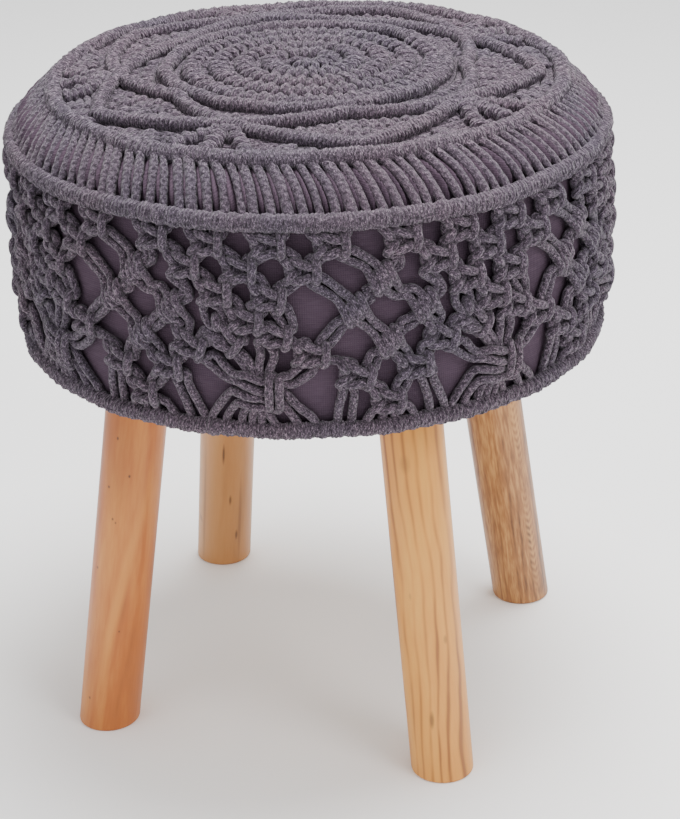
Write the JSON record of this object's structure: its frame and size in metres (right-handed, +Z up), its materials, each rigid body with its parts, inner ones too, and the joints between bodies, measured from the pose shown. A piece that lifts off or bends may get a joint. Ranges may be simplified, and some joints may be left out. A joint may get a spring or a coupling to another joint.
{
  "type": "macrame covered four-legged stool",
  "caption": "Round padded stool with a knotted cotton macrame cover over a lined pad, on splayed round wooden legs, for sitting or resting feet on.",
  "frame": {"origin": "on the floor under the middle of the seat", "axes": "+Z up, -Y towards the front, +X to the right as seen from the front"},
  "size_m": [0.3702, 0.3702, 0.4083],
  "materials": {
    "cotton_cord": "matte heathered cotton cord",
    "lining_cloth": "matte plain weave",
    "board_wood": "plain",
    "leg_front_left_wood": "satin varnish",
    "leg_front_right_wood": "satin varnish",
    "leg_back_right_wood": "satin varnish",
    "leg_back_left_wood": "satin varnish"
  },
  "bodies": {
    "root": {"macrame_cover": "cotton_cord", "seat_pad": "lining_cloth", "seat_board": "board_wood", "leg_front_left": "leg_front_left_wood", "leg_front_right": "leg_front_right_wood", "leg_back_right": "leg_back_right_wood", "leg_back_left": "leg_back_left_wood"}
  },
  "joints": []
}
